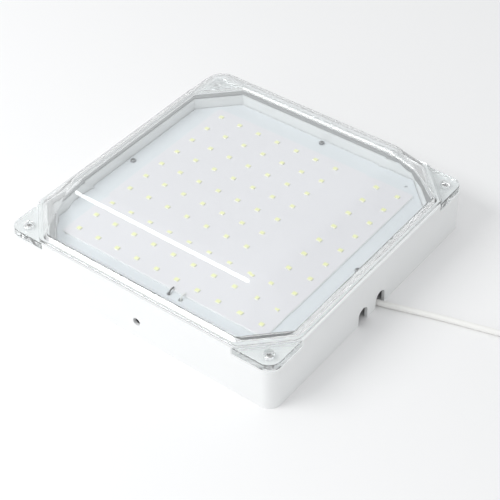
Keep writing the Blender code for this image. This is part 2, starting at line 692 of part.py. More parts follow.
def coil_point(turns_done, angle):
    """A point on the coil, in mm. The turns change slots one after another."""
    slot = min(turns_done, len(COIL_SLOTS) - 1)
    radius, height = COIL_SLOTS[slot]
    if slot < len(COIL_SLOTS) - 1:
        late = len(COIL_SLOTS) - 2 - slot
        begin = COIL_FIRST_SHIFT + COIL_SHIFT * late
        share = min(max((angle - begin) / COIL_SHIFT, 0.0), 1.0)
        rise = min(share / 0.65, 1.0)
        shift = max((share - 0.35) / 0.65, 0.0)
        next_radius, next_height = COIL_SLOTS[slot + 1]
        height += (next_height - height) * rise * rise * (3 - 2 * rise)
        radius += (next_radius - radius) * shift * shift * (3 - 2 * shift)
    turn = math.radians(angle)
    return (COIL_CENTRE[0] + radius * math.cos(turn), COIL_CENTRE[1] + radius * math.sin(turn),
            height)


def tail_points():
    """The cord from the coil to the plug: a straight line that sinks to the plug's height."""
    start = coil_point(len(COIL_SLOTS) - 1, COIL_LEAVE)
    heading = math.radians(COIL_LEAVE + 90.0)
    points = []
    for step in range(1, 8):
        share = step / 7
        sink = share * share * (3 - 2 * share)
        points.append((start[0] + TAIL_LENGTH * share * math.cos(heading),
                       start[1] + TAIL_LENGTH * share * math.sin(heading),
                       start[2] + (TAIL_HEIGHT - start[2]) * sink))
    return points


def coil_points():
    points = []
    turn_count = len(COIL_SLOTS) - 1
    step = 15.0
    for turn in range(turn_count + 1):
        last = COIL_LEAVE if turn == turn_count else COIL_START + 360.0
        angle = COIL_START
        while angle < last - 0.5 * step:
            points.append(coil_point(turn, angle))
            angle += step
    points.append(coil_point(turn_count, COIL_LEAVE))
    return points


def part_of(points, first, last):
    """The part of a line of points between two distances along it."""
    result, travelled = [], 0.0
    for a, b in zip(points, points[1:]):
        span = (b - a).length
        for edge in (first, last):
            if travelled <= edge < travelled + span:
                result.append(a.lerp(b, (edge - travelled) / span))
        if first < travelled + span < last:
            result.append(b.copy())
        travelled += span
    return result


def build_cord(parts, materials):
    arrive = vectors([*CORD_RUN, coil_point(0, COIL_START)])
    way_in = smooth_points(arrive, 9 * MM)
    length_in = sum((b - a).length for a, b in zip(way_in, way_in[1:]))
    tube("power_cord", part_of(way_in, 0.0, length_in - CORD_TO_COIL), CORD_RADIUS, parts,
         materials["cord"], 3)
    inner, outer = COIL_RING
    low, high = COIL_RING_HEIGHT
    coil = turned("cord_coil", [(inner, high), (outer, high), (outer, low), (inner, low),
                                (inner, high)], parts, materials["cord"], 48)
    coil.location = (COIL_CENTRE[0] * MM, COIL_CENTRE[1] * MM, 0.0)
    shade_round(coil)
    start = Vector(coil_point(len(COIL_SLOTS) - 1, COIL_LEAVE)) * MM
    way_out = smooth_points([start, *vectors(tail_points())], 7 * MM)
    length_out = sum((b - a).length for a, b in zip(way_out, way_out[1:]))
    tube("cord_tail", part_of(way_out, COIL_TO_TAIL, length_out - 0.01 * MM), CORD_RADIUS, parts,
         materials["cord"], 3)

    middle = ((inner + outer) / 2, 0.0)
    tie = prism("coil_tie", [rectangle(middle, TIE_OUTSIDE), rectangle(middle, TIE_INSIDE)],
                -TIE_WIDTH / 2, TIE_WIDTH / 2, parts, materials["tie"])
    stand_up = Matrix(((1, 0, 0, 0), (0, 0, -1, 0), (0, 1, 0, 0), (0, 0, 0, 1)))
    tie.matrix_world = (Matrix.Translation((COIL_CENTRE[0] * MM, COIL_CENTRE[1] * MM, TIE_LEVEL))
                        @ Matrix.Rotation(math.radians(TIE_ANGLE), 4, "Z") @ stand_up)
    return way_out[-1]


def plug_ring(distance, width, height, steps=6):
    """One cross-section of the plug: a rectangle with round corners, across X."""
    radius = min(width, height) * 0.42
    points = []
    for quarter in range(4):
        middle = math.radians(45.0 + 90.0 * quarter)
        centre_y = math.copysign(width / 2 - radius, math.cos(middle))
        centre_z = math.copysign(height / 2 - radius, math.sin(middle))
        for step in range(steps + 1):
            angle = math.radians(90.0 * quarter + 90.0 * step / steps)
            points.append((distance * MM, (centre_y + radius * math.cos(angle)) * MM,
                           (centre_z + radius * math.sin(angle)) * MM))
    return points


def build_plug(parts, cutters, materials, end):
    heading = math.radians(COIL_LEAVE + 90.0)
    place = (Matrix.Translation((end.x, end.y, TAIL_HEIGHT * MM + 0.02 * MM))
             @ Matrix.Rotation(heading, 4, "Z") @ Matrix.Translation((GAP, 0.0, 0.0)))
    body = loft("plug_body", [plug_ring(*section) for section in PLUG_SECTIONS], parts,
                materials["cord"])
    body.matrix_world = place
    face = PLUG_SECTIONS[-1][0] * MM
    for number, side in enumerate((-1, 1), 1):
        offset = side * PLUG_PIN_GAP / 2
        socket = cylinder(f"pin_socket_{number}", PLUG_PIN_RADIUS + GAP,
                          -PLUG_PIN_SUNK - GAP, PLUG_PIN_SUNK + GAP, (0, 0), cutters,
                          segments=20)
        socket.matrix_world = (place @ Matrix.Translation((face, offset, 0.0))
                               @ Matrix.Rotation(math.radians(90), 4, "Y"))
        combine(body, socket, "DIFFERENCE")
        pin = turned(f"plug_pin_{number}",
                     [(0, PLUG_PIN_LENGTH), (1.2 * MM, PLUG_PIN_LENGTH - 0.4 * MM),
                      (PLUG_PIN_RADIUS, PLUG_PIN_LENGTH - 1.6 * MM),
                      (PLUG_PIN_RADIUS, -PLUG_PIN_SUNK), (0, -PLUG_PIN_SUNK)], parts,
                     materials["brass"], 20)
        pin.matrix_world = (place @ Matrix.Translation((face, offset, 0.0))
                            @ Matrix.Rotation(math.radians(90), 4, "Y"))
        shade_round(pin)
    shade_round(body, 40.0)


def build_wires(parts, materials):
    terminal_left = TERMINAL_CENTRE[0] - TERMINAL_SIZE[0] / 2
    terminal_right = TERMINAL_CENTRE[0] + TERMINAL_SIZE[0] / 2
    driver_right = DRIVER_CENTRE[0] + DRIVER_SIZE[0] / 2
    driver_left = DRIVER_CENTRE[0] - DRIVER_SIZE[0] / 2
    middle = TERMINAL_CENTRE[1]
    for side, colour in ((1, "brown"), (-1, "blue")):
        start = Vector((CORD_START[0] * MM - GAP, CORD_START[1] * MM + side * 1.25 * MM,
                        CORD_START[2] * MM))
        end = Vector((terminal_right - 3 * MM, middle + side * WIRE_OFFSET, WIRE_LEVEL))
        route = [start, start + Vector((-2.5 * MM, 0.3 * side * MM, 0.8 * MM)),
                 Vector((111 * MM, middle + side * 3.6 * MM, 15 * MM)),
                 end + Vector((4.5 * MM, 0, -0.6 * MM)), end]
        tube(f"core_{colour}", smooth_points(route, 1.6 * MM), CORE_RADIUS, parts,
             materials[colour])
        first = Vector((terminal_left + 3 * MM, middle + side * WIRE_OFFSET, WIRE_LEVEL))
        second = Vector((driver_right - 2.5 * MM, DRIVER_CENTRE[1] + side * WIRE_OFFSET,
                         WIRE_LEVEL))
        mid = (first + second) / 2 + Vector((0, side * 1.0 * MM, -2.5 * MM))
        route = [first, first + Vector((-4 * MM, 0, 0)), mid,
                 second + Vector((4 * MM, 0, 0)), second]
        tube(f"input_wire_{colour}", smooth_points(route, 2.2 * MM), WIRE_RADIUS, parts,
             materials[colour])
    for (hole_x, hole_y), side, colour in ((WIRE_HOLES[0], -1, "black"), (WIRE_HOLES[1], 1, "white")):
        start = Vector((driver_left + 2.5 * MM, DRIVER_CENTRE[1] + side * WIRE_OFFSET,
                        WIRE_LEVEL))
        spread = (6 if side > 0 else 0) * MM
        route = [start, start + Vector((-3.5 * MM, 0, 0)), start + Vector((-7 * MM, 0, 0)),
                 Vector((-72 * MM - spread, -10 * MM, 24 * MM)),
                 Vector((-76 * MM - spread, -50 * MM, 23 * MM)),
                 Vector((-55 * MM - spread, -98 * MM - spread, 23 * MM)),
                 Vector((-15 * MM, -118 * MM - spread, 23 * MM)),
                 Vector((hole_x - 7 * MM, hole_y - 0.6 * MM * side - 0.6 * MM, 24.5 * MM)),
                 Vector((hole_x - 0.8 * MM, hole_y, 30 * MM)),
                 Vector((hole_x, hole_y - 0.3 * MM, 35 * MM)),
                 Vector((hole_x, hole_y - 0.1 * MM, 38.6 * MM)),
                 Vector((hole_x, hole_y + 1.3 * MM, 40.9 * MM)),
                 Vector((hole_x, hole_y + 3.6 * MM, 41.7 * MM)),
                 Vector((hole_x, hole_y + 5.8 * MM, 41.4 * MM)),
                 Vector((hole_x, hole_y + 7.0 * MM, 41.35 * MM))]
        tube(f"output_wire_{colour}", smooth_points(route, 6.0 * MM), WIRE_RADIUS, parts,
             materials[f"{colour}_plastic"])


def main():
    clear_scene()
    parts = new_collection("led_grow_light")
    cutters = new_collection("cutters")
    materials = {
        "housing_white": make_material("housing_white", WHITE, 0.4),
        "clear_plastic": make_material("clear_plastic", (0.95, 0.96, 0.96), 0.05, 0.0, 1.0),
        "gasket": make_material("gasket", (0.55, 0.56, 0.56), 0.7),
        "plate_white": make_material("plate_white", (0.78, 0.79, 0.81), 0.4),
        "led_board": make_material("led_board", (0.80, 0.80, 0.82), 0.45),
        "screw_steel": make_material("screw_steel", (0.22, 0.22, 0.23), 0.35, 1.0),
        "driver_metal": make_material("driver_metal", (0.70, 0.71, 0.72), 0.4, 1.0),
        "driver_plastic": make_material("driver_plastic", (0.75, 0.75, 0.74), 0.5),
        "black_plastic": make_material("black_plastic", (0.03, 0.03, 0.03), 0.5),
        "board_green": make_material("board_green", (0.04, 0.20, 0.10), 0.5),
        "white_plastic": make_material("white_plastic", (0.78, 0.78, 0.76), 0.45),
        "brass": make_material("brass", (0.70, 0.60, 0.35), 0.3, 1.0),
        "cord": make_material("cord", (0.78, 0.78, 0.77), 0.45),
        "tie": make_material("tie", (0.80, 0.80, 0.80), 0.5),
        "brown": make_material("brown", (0.18, 0.07, 0.03), 0.5),
        "blue": make_material("blue", (0.05, 0.15, 0.50), 0.5),
    }
    build_housing(parts, cutters, materials["housing_white"])
    build_cover(parts, cutters, materials["clear_plastic"])
    gasket_inner = cut_square(RECESS_HALF + GAP, RECESS_CUT + GAP)
    prism("cover_gasket", [cut_square(GASKET_HALF - GAP, GASKET_CUT - GAP), gasket_inner],
          GASKET_FLOOR + GAP, RIM_TOP, parts, materials["gasket"])
    build_led_parts(parts, cutters, materials["plate_white"], materials["led_board"])
    build_driver(parts, cutters, materials)
    build_terminal(parts, cutters, materials)

    bar = prism("clamp_bar", [rectangle(CLAMP_CENTRE, CLAMP_SIZE)], *CLAMP_BAR, parts,
                materials["white_plastic"])
    for number, at in enumerate(clamp_screw_places(), 1):
        combine(bar, cylinder(f"bar_hole_{number}", SMALL_HOLE_RADIUS, CLAMP_BAR[0] - OVERLAP,
                              CLAMP_BAR[1] + OVERLAP, at, cutters, segments=16), "DIFFERENCE")

    cover_screw = pan_screw("cover_screw", *COVER_SCREW, cutters)
    small_screw = pan_screw("small_screw", *SMALL_SCREW, cutters)
    short_screw = pan_screw("short_screw", *SHORT_SCREW, cutters)
    steel = materials["screw_steel"]
    for number, at in enumerate(corner_places(COVER_SCREW_AT), 1):
        place_screw(f"cover_screw_{number}", cover_screw, (*at, SCREW_SEAT + GAP), parts, steel)
    for number, at in enumerate(side_places(PLATE_SCREW_AT), 1):
        place_screw(f"plate_screw_{number}", small_screw, (*at, PLATE_TOP + GAP), parts, steel)
    for number, at in enumerate(driver_screw_places(), 1):
        place_screw(f"driver_screw_{number}", short_screw, (*at, DRIVER_PLATE[0] - GAP), parts,
                    steel, flip=True)
    for number, at in enumerate(clamp_screw_places(), 1):
        place_screw(f"clamp_screw_{number}", small_screw, (*at, CLAMP_BAR[0] - GAP), parts,
                    steel, flip=True)
    end = build_cord(parts, materials)
    build_plug(parts, cutters, materials, end)
    build_wires(parts, materials)


main()
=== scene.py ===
"""Looks of the square LED grow light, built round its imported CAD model.

Metres, +Z up, in the CAD model's frame: the lamp lies on its back with its lens up.
Lengths written with MM, and the tuples marked mm, are millimetres.
"""

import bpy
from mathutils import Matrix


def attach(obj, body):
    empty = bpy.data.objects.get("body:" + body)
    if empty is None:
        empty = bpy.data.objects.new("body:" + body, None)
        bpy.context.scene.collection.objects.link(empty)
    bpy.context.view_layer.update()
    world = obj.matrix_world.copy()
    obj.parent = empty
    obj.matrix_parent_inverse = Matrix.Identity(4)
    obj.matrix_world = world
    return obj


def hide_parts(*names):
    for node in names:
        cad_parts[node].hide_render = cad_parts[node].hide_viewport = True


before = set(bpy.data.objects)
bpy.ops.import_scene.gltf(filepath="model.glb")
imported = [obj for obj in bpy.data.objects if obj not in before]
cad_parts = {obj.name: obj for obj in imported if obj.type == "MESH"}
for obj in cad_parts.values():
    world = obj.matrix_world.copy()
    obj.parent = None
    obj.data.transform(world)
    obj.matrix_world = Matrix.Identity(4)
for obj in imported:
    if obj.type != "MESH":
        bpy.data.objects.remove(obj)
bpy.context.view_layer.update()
import math

import bmesh
import bpy
from mathutils import Matrix, Vector

MM = 0.001

# Camera, fitted to the lamp's edges.
CAMERA_PLACE = (0.6088, -0.7553, 0.8637)
CAMERA_TARGET = (0.0389, -0.0352, 0.0400)
CAMERA_ROLL = -1.23                 # degrees
CAMERA_LENS = 98.99                 # mm
CAMERA_SENSOR = 36.0                # mm
CAMERA_REACH = 20.0

# Floor, sky and softboxes.
FLOOR_HALF = 6.0
FLOOR_BELOW = 0.05 * MM
FLOOR_COLOUR = (0.90, 0.90, 0.90)
SKY_COLOUR = (0.98, 0.99, 1.0)
SKY_HORIZON_AND_TOP = (0.60, 0.88)  # the sky's strength, from level to straight up
LIGHT_BOUNCES = 24                  # enough to get through the cover's thick edges
SOFTBOX_SIZE = (1.6, 0.9)
SOFTBOXES = (                       # name, place, target (None is straight down), watts
    ("softbox_top", (-1.10, -1.35, 1.45), None, 30.0),
    ("softbox_front", (-0.3, -2.4, 0.75), (0.0, 0.0, 0.04), 3.0),
)

# Cord, as in the CAD model.
CORD_DIAMETER = 5.5 * MM
CORD_RUN = (                        # mm: through the notch and along the floor
    (118.0, 4.5, 7.75), (122.5, 4.5, 7.75), (127.5, 4.75, 7.5), (138.0, 6.8, 5.1),
    (148.5, 9.6, 3.1), (160.0, 13.1, 2.85), (177.0, 18.6, 2.8), (194.0, 24.0, 2.8),
    (215.0, 30.1, 2.8), (236.0, 35.8, 2.8), (257.0, 41.5, 2.8), (277.0, 47.1, 3.1),
)
CORD_SPACING = 2.2                  # mm between the points of the smooth cord
COIL_CENTRE = (290.0, 90.7)
COIL_SLOTS = (                      # mm: radius and height of each turn, in order
    (38.6, 3.9), (33.0, 3.9), (27.4, 3.9), (27.4, 9.5), (33.0, 9.5), (38.6, 9.5),
)
COIL_START = -74.5                  # degrees round the coil where the cord arrives
COIL_LEAVE = 25.0                   # degrees, on the last turn, where it leaves
COIL_STEP = 15.0                    # degrees between the coil's points
COIL_FIRST_SHIFT = 45.0             # degrees where the last change of turn begins
COIL_SHIFT = 47.0                   # degrees that each change of turn takes
COIL_EASE = 0.65                    # share of a change spent rising, then moving sideways
TAIL_LENGTH = 50.0
TAIL_HEIGHT = 6.85
TAIL_STEPS = 7

# Plug.
PLUG_SECTIONS = (                   # mm: distance along, width, height
    (0.0, 7.4, 7.4), (16.0, 9.2, 9.2), (20.0, 13.0, 11.4), (27.0, 20.0, 13.3),
    (36.0, 25.4, 13.7), (52.0, 26.0, 13.7), (54.5, 25.0, 12.7), (55.5, 23.4, 11.2),
)
PLUG_SPACING = 1.6                  # mm between the sections of the smooth plug
PLUG_ROUNDING = 0.42                # corner radius as a share of the section's short side
PLUG_CORNER_STEPS = 8
PLUG_GAP = 0.3 * MM                 # from the cord's end
PLUG_RAISED = 0.02                  # mm above the cord's end
PLUG_PIN_GAP = 18.6 * MM
PLUG_PIN_HOLE = (2.3 * MM, 14.0 * MM)   # radius and length
GROOVES = 4                         # on each side of the plug's neck
GROOVE_FIRST = 3.4 * MM
GROOVE_PITCH = 3.2 * MM
GROOVE_OFFSET = 5.2 * MM
GROOVE_SIZE = (1.4 * MM, 3.6 * MM, 12.0 * MM)

# Clear cover.
FLANGE_HALF = 148.5 * MM
FLANGE_CUT = 260.0 * MM
FLANGE_BOTTOM = 51.8 * MM
FLANGE_TOP = 54.8 * MM
FLANGE_ROUND = 0.7 * MM
FLANGE_ROUND_STEPS = 4
FLANGE_CORNER = 8.0 * MM
CUT_PER_INSET = 1.41                # a cut corner's change for an even inset all round
MOUTH_HALF = 141.0 * MM
MOUTH_MARGIN = 1.0 * MM             # between the mouth and the first ring inside the dome
DOME_FOOT = 146.0 * MM
DOME_FOOT_CUT = 254.4 * MM
DOME_WALL = 2.5 * MM
DOME_TOP = 96.7 * MM
DOME_TOP_INSET = 45.8 * MM
DOME_ARC_RADIUS = 18.4 * MM
DOME_ARC_STEPS = 12
DOME_WALL_STEPS = 4
DOME_CUT_TAPER = 1.22               # how much the corner cut shrinks as the wall comes in
RIDGE_RADIUS = 10.0 * MM
RIDGE_SPREAD = 0.30                 # how much rounder the ridges get as the wall comes in
RIDGE_LIMIT = 1.6                   # widest ridge, as a share of what the corner cut takes off
PAD_HALF = 149.5 * MM
PAD_CUT = 257.5 * MM
PAD_BOTTOM = 44.3 * MM
PAD_TOP = 51.6 * MM
PAD_ROUND = 1.5 * MM
PAD_ROUND_STEPS = 8
PAD_CHAMFER = 0.4 * MM              # under the pad
PAD_RADIUS = 12.0 * MM
PAD_CORNER_STEPS = 12
NECK_SUNK = 1.5 * MM                # how far the neck reaches into the pad and the flange
SCREW_SEAT = 46.8 * MM
SCREW_SEAT_RADIUS = 5.0 * MM
SCREW_HOLE_RADIUS = 2.1 * MM
SCREW_HOLE_ENDS = (40.0 * MM, 50.0 * MM)
ABOVE_COVER_PADS = 60.0 * MM        # where the cuts over the screws end
COVER_SCREW_AT = 136.5 * MM

# LED board.
BOARD_HALF = 115.7 * MM
BOARD_BOTTOM = 38.65 * MM
BOARD_TOP = 40.2 * MM
BOARD_MASK = 0.5 * MM               # thickness of the layer over the metal core
BOARD_MASK_INSET = 0.5 * MM
BOARD_EDGE = 0.15 * MM
BOARD_CORNER = 2.0 * MM
LED_ROWS = 10
LED_PITCH = 23.18 * MM
LED_GAP_COLUMN = 7                  # this column has LEDs in its first rows only
LED_GAP_FIRST_ROW = 3
LED_SIZE = (4.4 * MM, 4.0 * MM)
LED_LEVELS = (40.2 * MM, 40.94 * MM)    # lower and upper end of the package
LED_EDGE = 0.15 * MM
FACE_SIZE = (4.1 * MM, 3.7 * MM)
FACE_LEVELS = (40.87 * MM, 40.97 * MM)
FACE_EDGE = 0.04 * MM
SOLDER_SIZE = (0.9 * MM, 2.8 * MM)
SOLDER_LEVELS = (40.19 * MM, 40.33 * MM)
SOLDER_EDGE = 0.05 * MM

# Pieces that follow their CAD node with rounded edges.
SCREW_GROUPS = (                    # how many, then each name, material, slot, body, bevel
    (4, (("cover_screw", "cover_screw", "screw_steel", "cover", 0.15 * MM),
         ("plate_screw", "screw_steel", "screw_steel", "housing", 0.15 * MM))),
    (2, (("driver_screw", "screw_steel", "screw_steel", "housing", 0.15 * MM),
         ("clamp_screw", "screw_steel", "screw_steel", "housing", 0.15 * MM),
         ("terminal_screw", "brass", "brass", "housing", 0.1 * MM))),
)
INNER_PIECES = (                    # node, material and slot, bevel, bevel segments
    ("driver_base", "driver_metal", 0.25 * MM, 3),
    ("driver_case", "driver_plastic", 0.4 * MM, 3),
    ("driver_board", "board_green", 0.1 * MM, 1),
    ("driver_transformer", "black_plastic", 0.0, 0),
    ("driver_capacitor", "black_plastic", 0.0, 0),
    ("terminal_block", "white_plastic", 0.25 * MM, 2),
    ("clamp_bar", "white_plastic", 0.3 * MM, 2),
)
WIRES = (                           # node, material and slot
    ("core_brown", "brown"), ("core_blue", "blue"),
    ("input_wire_brown", "brown"), ("input_wire_blue", "blue"),
    ("output_wire_white", "white_plastic"), ("output_wire_black", "black_plastic"),
)

pieces = bpy.data.collections.new("pieces")
bpy.context.scene.collection.children.link(pieces)


# ---------------------------------------------------------------- camera, floor, light

def build_camera():
    data = bpy.data.cameras.new("camera")
    data.lens = CAMERA_LENS
    data.sensor_width = CAMERA_SENSOR
    data.clip_end = CAMERA_REACH
    camera = bpy.data.objects.new("camera", data)
    camera.location = CAMERA_PLACE
    aim = Vector(CAMERA_TARGET) - Vector(CAMERA_PLACE)
    turn = aim.to_track_quat("-Z", "Y").to_matrix()
    roll = Matrix.Rotation(math.radians(CAMERA_ROLL), 3, "Z")
    camera.rotation_euler = (turn @ roll).to_euler()
    bpy.context.scene.collection.objects.link(camera)
    bpy.context.scene.camera = camera


def build_softbox(name, place, target, power):
    """An area light that faces its target, or straight down if it has none."""
    data = bpy.data.lights.new(name, "AREA")
    data.shape = "RECTANGLE"
    data.size, data.size_y = SOFTBOX_SIZE
    data.energy = power
    lamp = bpy.data.objects.new(name, data)
    lamp.location = place
    if target is not None:
        aim = Vector(target) - Vector(place)
        lamp.rotation_euler = aim.to_track_quat("-Z", "Y").to_euler()
    bpy.context.scene.collection.objects.link(lamp)


def build_sky():
    """A sky that is brighter overhead than at the horizon."""
    world = bpy.data.worlds.new("studio")
    world.use_nodes = True
    tree = world.node_tree
    background = tree.nodes["Background"]
    background.inputs["Color"].default_value = (*SKY_COLOUR, 1.0)
    coordinates = tree.nodes.new("ShaderNodeTexCoord")
    parts = tree.nodes.new("ShaderNodeSeparateXYZ")
    tree.links.new(coordinates.outputs["Generated"], parts.inputs["Vector"])
    tree.links.new(ranged(tree, parts.outputs["Z"], *SKY_HORIZON_AND_TOP, 0.0, 1.0),
                   background.inputs["Strength"])
    bpy.context.scene.world = world


def build_floor():
    bm = bmesh.new()
    bmesh.ops.create_grid(bm, x_segments=1, y_segments=1, size=FLOOR_HALF)
    mesh = bpy.data.meshes.new("floor")
    bm.to_mesh(mesh)
    bm.free()
    floor = bpy.data.objects.new("floor", mesh)
    floor.location.z = -FLOOR_BELOW
    bpy.context.scene.collection.objects.link(floor)
    material, _, shader = blank_material("floor_paper")
    shader.inputs["Base Color"].default_value = (*FLOOR_COLOUR, 1.0)
    shader.inputs["Roughness"].default_value = 0.9
    shader.inputs["Specular IOR Level"].default_value = 0.1
    mesh.materials.append(material)


def build_stage():
    scene = bpy.context.scene
    scene.view_settings.view_transform = "Standard"
    scene.cycles.max_bounces = scene.cycles.transmission_bounces = LIGHT_BOUNCES
    build_sky()
    build_floor()
    for softbox in SOFTBOXES:
        build_softbox(*softbox)


# ---------------------------------------------------------------- materials

def blank_material(name):
    material = bpy.data.materials.new(name)
    material.use_nodes = True
    return material, material.node_tree, material.node_tree.nodes["Principled BSDF"]


def noise(tree, scale, detail=3.0, stretch=None):
    """A noise texture in object space, drawn out where stretch says."""
    coordinates = tree.nodes.new("ShaderNodeTexCoord")
    texture = tree.nodes.new("ShaderNodeTexNoise")
    texture.inputs["Scale"].default_value = scale
    texture.inputs["Detail"].default_value = detail
    source = coordinates.outputs["Object"]
    if stretch is not None:
        mapping = tree.nodes.new("ShaderNodeMapping")
        mapping.inputs["Scale"].default_value = stretch
        tree.links.new(source, mapping.inputs["Vector"])
        source = mapping.outputs["Vector"]
    tree.links.new(source, texture.inputs["Vector"])
    return texture.outputs["Fac"]


def ranged(tree, source, low, high, start=0.35, end=0.65):
    """The source's values between start and end, spread from low to high."""
    node = tree.nodes.new("ShaderNodeMapRange")
    node.inputs["From Min"].default_value = start
    node.inputs["From Max"].default_value = end
    node.inputs["To Min"].default_value = low
    node.inputs["To Max"].default_value = high
    tree.links.new(source, node.inputs["Value"])
    return node.outputs["Result"]


def blended(tree, pattern, first, second):
    """A colour that goes from first to second with the pattern."""
    node = tree.nodes.new("ShaderNodeMix")
    node.data_type = "RGBA"
    node.inputs["A"].default_value = (*first, 1.0)
    node.inputs["B"].default_value = (*second, 1.0)
    tree.links.new(ranged(tree, pattern, 0.0, 1.0), node.inputs["Factor"])
    return node.outputs["Result"]


def bumped(tree, shader, height, strength, distance):
    bump = tree.nodes.new("ShaderNodeBump")
    bump.inputs["Strength"].default_value = strength
    bump.inputs["Distance"].default_value = distance
    tree.links.new(height, bump.inputs["Height"])
    tree.links.new(bump.outputs["Normal"], shader.inputs["Normal"])


def moulded(name, colour, roughness, grain=900.0, depth=0.02 * MM, variation=0.03, coat=0.0):
    """Moulded plastic, rubber or paint: faint mottling, a fine grain and uneven gloss."""
    material, tree, shader = blank_material(name)
    darker = tuple(channel * (1.0 - variation) for channel in colour)
    tree.links.new(blended(tree, noise(tree, 14.0), darker, colour), shader.inputs["Base Color"])
    tree.links.new(ranged(tree, noise(tree, 60.0), roughness - 0.04, roughness + 0.06),
                   shader.inputs["Roughness"])
    shader.inputs["Coat Weight"].default_value = coat
    shader.inputs["Coat Roughness"].default_value = 0.12
    bumped(tree, shader, noise(tree, grain, 2.0), 0.25, depth)
    return material


def metal(name, colour, roughness):
    """Plated or milled metal with fine lines and uneven brightness."""
    material, tree, shader = blank_material(name)
    shader.inputs["Metallic"].default_value = 1.0
    dull = tuple(channel * 0.8 for channel in colour)
    lines = noise(tree, 420.0, 3.0, (1.0, 14.0, 1.0))
    tree.links.new(blended(tree, noise(tree, 90.0), dull, colour), shader.inputs["Base Color"])
    tree.links.new(ranged(tree, lines, roughness - 0.06, roughness + 0.1),
                   shader.inputs["Roughness"])
    bumped(tree, shader, lines, 0.2, 0.01 * MM)
    return material


def clear_plastic(name):
    """Clear acrylic that lets the lamps and the sky light what is under it."""
    material, tree, shader = blank_material(name)
    shader.inputs["Base Color"].default_value = (0.975, 0.985, 0.985, 1.0)
    shader.inputs["Transmission Weight"].default_value = 0.94
    shader.inputs["IOR"].default_value = 1.49
    tree.links.new(ranged(tree, noise(tree, 22.0, 4.0), 0.0, 0.035, 0.45, 0.8),
                   shader.inputs["Roughness"])
    bumped(tree, shader, noise(tree, 16.0, 1.0), 0.06, 0.4 * MM)
    path = tree.nodes.new("ShaderNodeLightPath")
    through = tree.nodes.new("ShaderNodeBsdfTransparent")
    through.inputs["Color"].default_value = (0.95, 0.96, 0.96, 1.0)
    surface = shader.outputs["BSDF"]
    for ray in ("Is Shadow Ray", "Is Diffuse Ray"):
        mix = tree.nodes.new("ShaderNodeMixShader")
        tree.links.new(path.outputs[ray], mix.inputs["Fac"])
        tree.links.new(surface, mix.inputs[1])
        tree.links.new(through.outputs["BSDF"], mix.inputs[2])
        surface = mix.outputs["Shader"]
    tree.links.new(surface, tree.nodes["Material Output"].inputs["Surface"])
    return material


def phosphor(name):
    """The yellow silicone over an LED's die, with a grainy surface."""
    material, tree, shader = blank_material(name)
    grains = noise(tree, 2600.0, 2.0)
    tree.links.new(blended(tree, grains, (0.96, 0.97, 0.45), (0.99, 1.0, 0.57)),
                   shader.inputs["Base Color"])
    shader.inputs["Roughness"].default_value = 0.35
    shader.inputs["Coat Weight"].default_value = 0.3
    bumped(tree, shader, grains, 0.3, 0.02 * MM)
    return material


def build_materials():
    """The materials of the opaque pieces, most of them under their record slot's name."""
    return {
        "housing_white": moulded("housing_plastic", (0.86, 0.87, 0.87), 0.34,
                                 grain=1400.0, depth=0.01 * MM, variation=0.015),
        "gasket": moulded("gasket_rubber", (0.36, 0.365, 0.37), 0.62,
                          grain=700.0, depth=0.04 * MM, variation=0.08),
        "plate_white": moulded("plate_paint", (0.80, 0.835, 0.865), 0.32,
                               grain=500.0, depth=0.01 * MM, coat=0.2),
        # The core layer, whose sides are the board's edge, is near white and lighter than the mask:
        # partly the edge's own colour, partly painted light that lifts the shade along the board's
        # +X edge.
        "board_core_with_painted_light": moulded("board_core_with_painted_light", (0.96, 0.96, 0.96), 0.3,
                              grain=1200.0, depth=0.01 * MM, variation=0.02, coat=0.3),
        "board_mask": moulded("board_mask", (0.86, 0.84, 0.87), 0.38,
                              grain=800.0, depth=0.01 * MM, variation=0.02, coat=0.2),
        "led_package": moulded("led_package", (0.96, 0.96, 0.76), 0.4),
        "led_phosphor": phosphor("led_phosphor"),
        "solder": metal("solder", (0.80, 0.80, 0.78), 0.3),
        "screw_steel": metal("screw_steel", (0.28, 0.29, 0.30), 0.3),
        # The cover screws get a much lighter copy of the screw steel: painted light that lifts the
        # shade of their recesses under the clear cover.
        "cover_screw": metal("cover_screw_steel_painted_light", (0.82, 0.82, 0.82), 0.45),
        "driver_metal": metal("driver_aluminium", (0.72, 0.73, 0.74), 0.38),
        "driver_plastic": moulded("driver_case_plastic", (0.76, 0.76, 0.74), 0.5,
                                  grain=700.0, depth=0.05 * MM),
        "board_green": moulded("driver_board_mask", (0.05, 0.22, 0.10), 0.35,
                               depth=0.01 * MM, variation=0.2, coat=0.4),
        "black_plastic": moulded("black_plastic", (0.025, 0.025, 0.027), 0.45,
                                 grain=800.0, depth=0.04 * MM, variation=0.3),
        "white_plastic": moulded("white_plastic", (0.78, 0.78, 0.75), 0.42),
        "brass": metal("plated_brass", (0.76, 0.68, 0.46), 0.25),
        "cord": moulded("cord_pvc", (0.90, 0.895, 0.87), 0.42, grain=600.0, depth=0.03 * MM),
        "tie": moulded("tie_plastic", (0.80, 0.80, 0.80), 0.45),
        "brown": moulded("wire_brown", (0.16, 0.06, 0.03), 0.4, variation=0.15),
        "blue": moulded("wire_blue", (0.03, 0.12, 0.50), 0.4, variation=0.15),
    }


# ---------------------------------------------------------------- shapes

def new_piece(name, mesh, material, body, slot, *nodes):
    """A piece on its body, in place of the CAD nodes named."""
    piece = bpy.data.objects.new(name, mesh)
    pieces.objects.link(piece)
    mesh.materials.clear()
    mesh.materials.append(material)
    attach(piece, body)
    if nodes:
        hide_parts(*nodes)
    return piece


def mesh_from(bm, name):
    bmesh.ops.recalc_face_normals(bm, faces=bm.faces)
    mesh = bpy.data.meshes.new(name)
    bm.to_mesh(mesh)
    bm.free()
    return mesh


def smooth(mesh, degrees=32.0):
    mesh.shade_smooth()
    mesh.set_sharp_from_angle(angle=math.radians(degrees))


